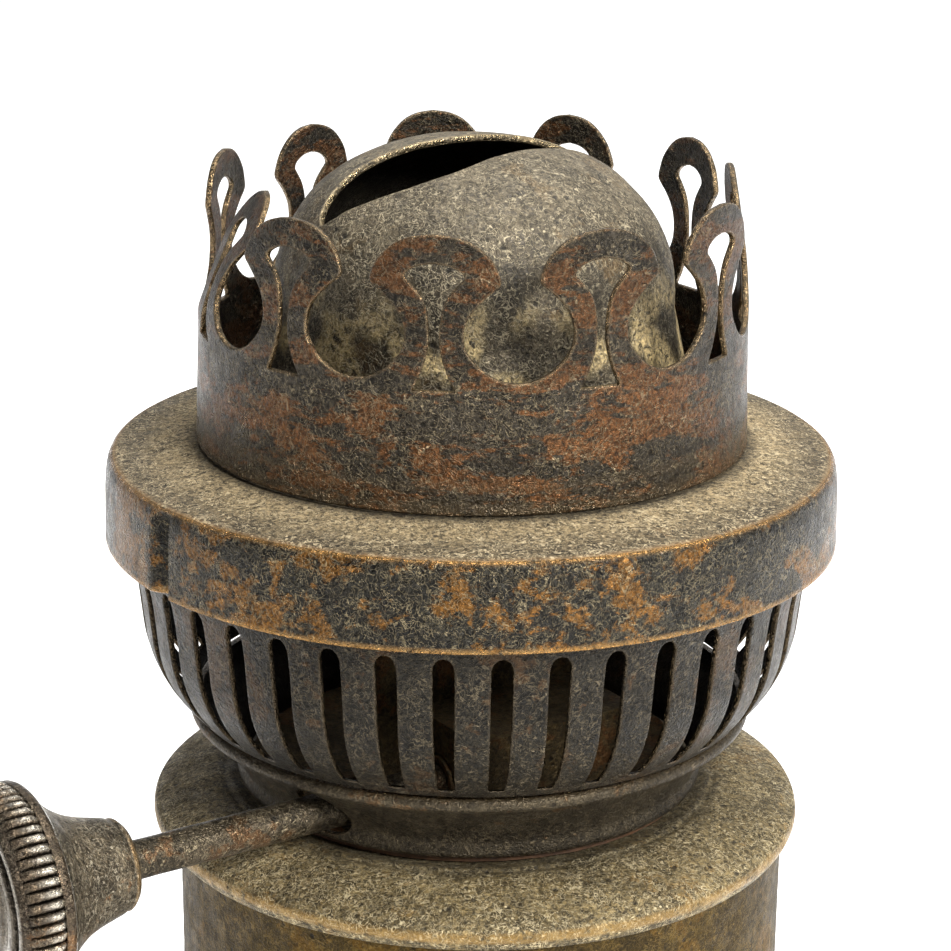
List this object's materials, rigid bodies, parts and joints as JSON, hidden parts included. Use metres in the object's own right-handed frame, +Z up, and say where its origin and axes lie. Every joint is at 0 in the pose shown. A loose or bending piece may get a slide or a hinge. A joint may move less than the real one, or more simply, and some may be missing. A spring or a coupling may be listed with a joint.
{
  "type": "oil lamp",
  "caption": "Small brass oil lamp: drum fount, screw-in flat-wick burner with slotted air basket, domed deflector, pronged chimney gallery and side thumb-wheel winder.",
  "frame": {"origin": "centre of the fount's underside", "axes": "+Z up along the fount's axis; -Y is the front, and the winder's thumb wheel points to -X and -Y"},
  "size_m": [0.0857, 0.0852, 0.1144],
  "materials": {
    "fount_brass": "aged, speckled",
    "gallery_dark": "dark patina with worn edges",
    "plate_dusty": "dusty patina",
    "dome_soot": "sooty, dusty",
    "basket_dark": "dark patina, coppery edges",
    "inner_brass": "tarnished",
    "winder_steel": "browned, scratched",
    "knob_dark": "dark patina, polished ridges",
    "wick_cotton": "woven, charred at the top",
    "gasket_leather": "oiled"
  },
  "bodies": {
    "fount": {"fount_body": "fount_brass", "fount_top": "fount_brass", "fount_collar": "inner_brass"},
    "gasket": {"gasket_ring": "gasket_leather"},
    "burner": {"threaded_ring": "inner_brass", "burner_floor": "inner_brass", "base_collar": "basket_dark", "air_basket": "basket_dark", "air_diffuser": "inner_brass", "wick_tube": "inner_brass", "winder_housing": "inner_brass", "bush_inner": "inner_brass", "bush_outer": "inner_brass"},
    "winder": {"winder_shaft": "winder_steel", "stop_ring": "inner_brass", "sprocket_1": "inner_brass", "sprocket_2": "inner_brass", "sprocket_3": "inner_brass", "knob_boss": "knob_dark", "knob_wheel": "knob_dark", "knob_face": "knob_dark", "knob_washer": "inner_brass"},
    "wick": {"wick": "wick_cotton"},
    "gallery": {"gallery_plate": "plate_dusty", "chimney_crown": "gallery_dark", "chimney_seat": "gallery_dark", "flame_dome": "dome_soot", "dome_rivet_1": "inner_brass", "dome_rivet_2": "inner_brass", "dome_rivet_3": "inner_brass"}
  },
  "joints": [
    {"name": "burner_rise", "type": "slide", "parent": "fount", "child": "gasket", "axis": [0, 0, 1], "range_m": [0, 0.0064]},
    {"name": "burner_turn", "type": "hinge", "parent": "gasket", "child": "burner", "pos_m": [-0.00135, 0, 0.05], "axis": [0, 0, 1], "range_deg": [0, 1260]},
    {"name": "winder_turn", "type": "hinge", "parent": "burner", "child": "winder", "pos_m": [0.00376, -0.00765, 0.052], "axis": [0.832, 0.5548, 0], "range_deg": [-120, 76]},
    {"name": "wick_rise", "type": "slide", "parent": "burner", "child": "wick", "axis": [0, 0, 1], "range_m": [-0.0126, 0.0081]},
    {"name": "gallery_lift", "type": "slide", "parent": "burner", "child": "gallery", "axis": [0, 0, 1], "range_m": [0, 0.035]}
  ],
  "couplings": [
    {"joint": "burner_rise", "follows": "burner_turn", "m_per_rad": 0.00028648},
    {"joint": "wick_rise", "follows": "winder_turn", "m_per_rad": 0.006}
  ]
}
